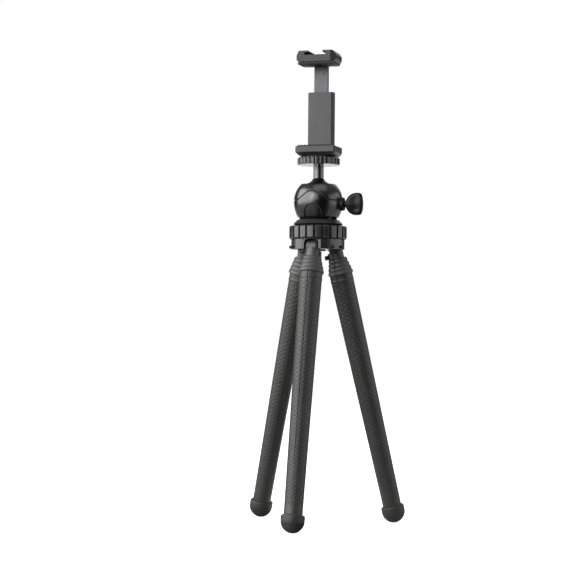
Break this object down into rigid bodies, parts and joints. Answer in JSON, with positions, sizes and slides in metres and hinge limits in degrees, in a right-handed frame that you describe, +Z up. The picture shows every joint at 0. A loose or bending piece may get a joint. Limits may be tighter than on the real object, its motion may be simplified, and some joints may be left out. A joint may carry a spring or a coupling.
{
  "type": "flexible leg tripod",
  "caption": "Tabletop tripod with bendable rubber legs hinged to a hub, a lockable ball head with a wing knob, and a sliding device clamp topped by an accessory shoe.",
  "frame": {"origin": "on the floor plane that the three feet stand on, below the hub axis", "axes": "+Z up along the hub axis; -Y is the front, where one leg and the open side of the clamp face; +X points to the locking knob"},
  "size_m": [0.1374, 0.1216, 0.3964],
  "materials": {
    "sleeve_rubber": "matt rubber with a fine scale texture",
    "pad_rubber": "smooth soft rubber",
    "black_plastic": "satin moulded plastic with a fine grain",
    "shell_plastic": "satin moulded plastic",
    "dark_metal": "blackened steel",
    "ball_metal": "black anodised",
    "core_aluminium": "soft drawn rod",
    "steel": "plated",
    "brass": "turned",
    "pale_plastic": "natural acetal"
  },
  "bodies": {
    "hub": {"hub_body": "black_plastic", "hub_stud": "dark_metal", "hub_cap": "black_plastic", "hinge_pins": "dark_metal"},
    "lock_ring": {"lock_ring": "black_plastic"},
    "head": {"head_flange": "black_plastic", "lower_shell": "shell_plastic", "upper_shell": "shell_plastic", "ball_cup": "pale_plastic", "knob_bush": "dark_metal", "head_screws": "dark_metal"},
    "brake": {"brake_shoe": "pale_plastic"},
    "knob": {"lock_knob": "black_plastic", "knob_screw": "steel"},
    "ball": {"ball_stem": "ball_metal", "mount_stud": "steel"},
    "wheel": {"lock_wheel": "black_plastic", "wheel_pad": "pad_rubber"},
    "clamp": {"lower_jaw": "black_plastic", "lower_pad": "pad_rubber", "thread_bush": "brass", "clamp_nut": "steel"},
    "upper_clamp": {"upper_jaw": "black_plastic", "slide_bar": "dark_metal", "upper_pad": "pad_rubber"},
    "thumb": {"thumb_knob": "black_plastic", "thumb_screw": "steel"},
    "leg_1_top": {"leg_1_socket": "black_plastic", "leg_1_core": "core_aluminium", "leg_1_sleeve_1": "sleeve_rubber", "leg_1_flex_1": "sleeve_rubber"},
    "leg_1_upper": {"leg_1_sleeve_2": "sleeve_rubber", "leg_1_flex_2": "sleeve_rubber"},
    "leg_1_lower": {"leg_1_sleeve_3": "sleeve_rubber", "leg_1_flex_3": "sleeve_rubber"},
    "leg_1_tip": {"leg_1_sleeve_4": "sleeve_rubber", "leg_1_foot": "pad_rubber"},
    "leg_2_top": {"leg_2_socket": "black_plastic", "leg_2_core": "core_aluminium", "leg_2_sleeve_1": "sleeve_rubber", "leg_2_flex_1": "sleeve_rubber"},
    "leg_2_upper": {"leg_2_sleeve_2": "sleeve_rubber", "leg_2_flex_2": "sleeve_rubber"},
    "leg_2_lower": {"leg_2_sleeve_3": "sleeve_rubber", "leg_2_flex_3": "sleeve_rubber"},
    "leg_2_tip": {"leg_2_sleeve_4": "sleeve_rubber", "leg_2_foot": "pad_rubber"},
    "leg_3_top": {"leg_3_socket": "black_plastic", "leg_3_core": "core_aluminium", "leg_3_sleeve_1": "sleeve_rubber", "leg_3_flex_1": "sleeve_rubber"},
    "leg_3_upper": {"leg_3_sleeve_2": "sleeve_rubber", "leg_3_flex_2": "sleeve_rubber"},
    "leg_3_lower": {"leg_3_sleeve_3": "sleeve_rubber", "leg_3_flex_3": "sleeve_rubber"},
    "leg_3_tip": {"leg_3_sleeve_4": "sleeve_rubber", "leg_3_foot": "pad_rubber"}
  },
  "joints": [
    {"name": "ring_turn", "type": "hinge", "parent": "hub", "child": "lock_ring", "pos_m": [0, 0, 0.23883], "axis": [0, 0, 1], "range_deg": [-120, 0]},
    {"name": "head_pan", "type": "hinge", "parent": "hub", "child": "head", "pos_m": [0, 0, 0.25013], "axis": [0, 0, 1], "continuous": true},
    {"name": "brake_slide", "type": "slide", "parent": "head", "child": "brake", "axis": [1, 0, 0], "range_m": [0, 0.0008]},
    {"name": "knob_turn", "type": "hinge", "parent": "brake", "child": "knob", "pos_m": [0.03, 0, 0.26823], "axis": [1, 0, 0], "range_deg": [0, 360]},
    {"name": "ball_tilt", "type": "hinge", "parent": "head", "child": "ball", "pos_m": [0, 0, 0.27513], "axis": [0, 1, 0], "range_deg": [-90, 20]},
    {"name": "wheel_turn", "type": "hinge", "parent": "ball", "child": "wheel", "pos_m": [0, 0, 0.30133], "axis": [0, 0, 1], "range_deg": [-180, 0]},
    {"name": "clamp_swivel", "type": "hinge", "parent": "ball", "child": "clamp", "pos_m": [0, 0, 0.30883], "axis": [0, 0, 1], "continuous": true},
    {"name": "jaw_slide", "type": "slide", "parent": "clamp", "child": "upper_clamp", "axis": [0, 0, 1], "range_m": [-0.012, 0.018]},
    {"name": "thumb_turn", "type": "hinge", "parent": "clamp", "child": "thumb", "pos_m": [0, 0.0155, 0.34943], "axis": [0, 1, 0], "range_deg": [0, 180]},
    {"name": "leg_1_hinge", "type": "hinge", "parent": "hub", "child": "leg_1_top", "pos_m": [0, -0.015, 0.23198], "axis": [1, 0, 0], "range_deg": [-55, 13]},
    {"name": "leg_1_bend_1", "type": "hinge", "parent": "leg_1_top", "child": "leg_1_upper", "pos_m": [0, -0.03122, 0.16388], "axis": [-1, 0, 0], "range_deg": [-35, 35], "deforming": ["leg_1_flex_1", "leg_1_core"]},
    {"name": "leg_1_bend_2", "type": "hinge", "parent": "leg_1_upper", "child": "leg_1_lower", "pos_m": [0, -0.04281, 0.11524], "axis": [-1, 0, 0], "range_deg": [-35, 35], "deforming": ["leg_1_flex_2"]},
    {"name": "leg_1_bend_3", "type": "hinge", "parent": "leg_1_lower", "child": "leg_1_tip", "pos_m": [0, -0.0544, 0.0666], "axis": [-1, 0, 0], "range_deg": [-35, 35], "deforming": ["leg_1_flex_3"]},
    {"name": "leg_2_hinge", "type": "hinge", "parent": "hub", "child": "leg_2_top", "pos_m": [0.01299, 0.0075, 0.23198], "axis": [-0.5, 0.866, 0], "range_deg": [-55, 13]},
    {"name": "leg_2_bend_1", "type": "hinge", "parent": "leg_2_top", "child": "leg_2_upper", "pos_m": [0.02704, 0.01561, 0.16388], "axis": [0.5, -0.866, 0], "range_deg": [-35, 35], "deforming": ["leg_2_flex_1", "leg_2_core"]},
    {"name": "leg_2_bend_2", "type": "hinge", "parent": "leg_2_upper", "child": "leg_2_lower", "pos_m": [0.03707, 0.0214, 0.11524], "axis": [0.5, -0.866, 0], "range_deg": [-35, 35], "deforming": ["leg_2_flex_2"]},
    {"name": "leg_2_bend_3", "type": "hinge", "parent": "leg_2_lower", "child": "leg_2_tip", "pos_m": [0.04711, 0.0272, 0.0666], "axis": [0.5, -0.866, 0], "range_deg": [-35, 35], "deforming": ["leg_2_flex_3"]},
    {"name": "leg_3_hinge", "type": "hinge", "parent": "hub", "child": "leg_3_top", "pos_m": [-0.01299, 0.0075, 0.23198], "axis": [-0.5, -0.866, 0], "range_deg": [-55, 13]},
    {"name": "leg_3_bend_1", "type": "hinge", "parent": "leg_3_top", "child": "leg_3_upper", "pos_m": [-0.02704, 0.01561, 0.16388], "axis": [0.5, 0.866, 0], "range_deg": [-35, 35], "deforming": ["leg_3_flex_1", "leg_3_core"]},
    {"name": "leg_3_bend_2", "type": "hinge", "parent": "leg_3_upper", "child": "leg_3_lower", "pos_m": [-0.03707, 0.0214, 0.11524], "axis": [0.5, 0.866, 0], "range_deg": [-35, 35], "deforming": ["leg_3_flex_2"]},
    {"name": "leg_3_bend_3", "type": "hinge", "parent": "leg_3_lower", "child": "leg_3_tip", "pos_m": [-0.04711, 0.0272, 0.0666], "axis": [0.5, 0.866, 0], "range_deg": [-35, 35], "deforming": ["leg_3_flex_3"]}
  ],
  "couplings": [
    {"joint": "knob_turn", "follows": "brake_slide", "rad_per_m": 7853.9}
  ]
}
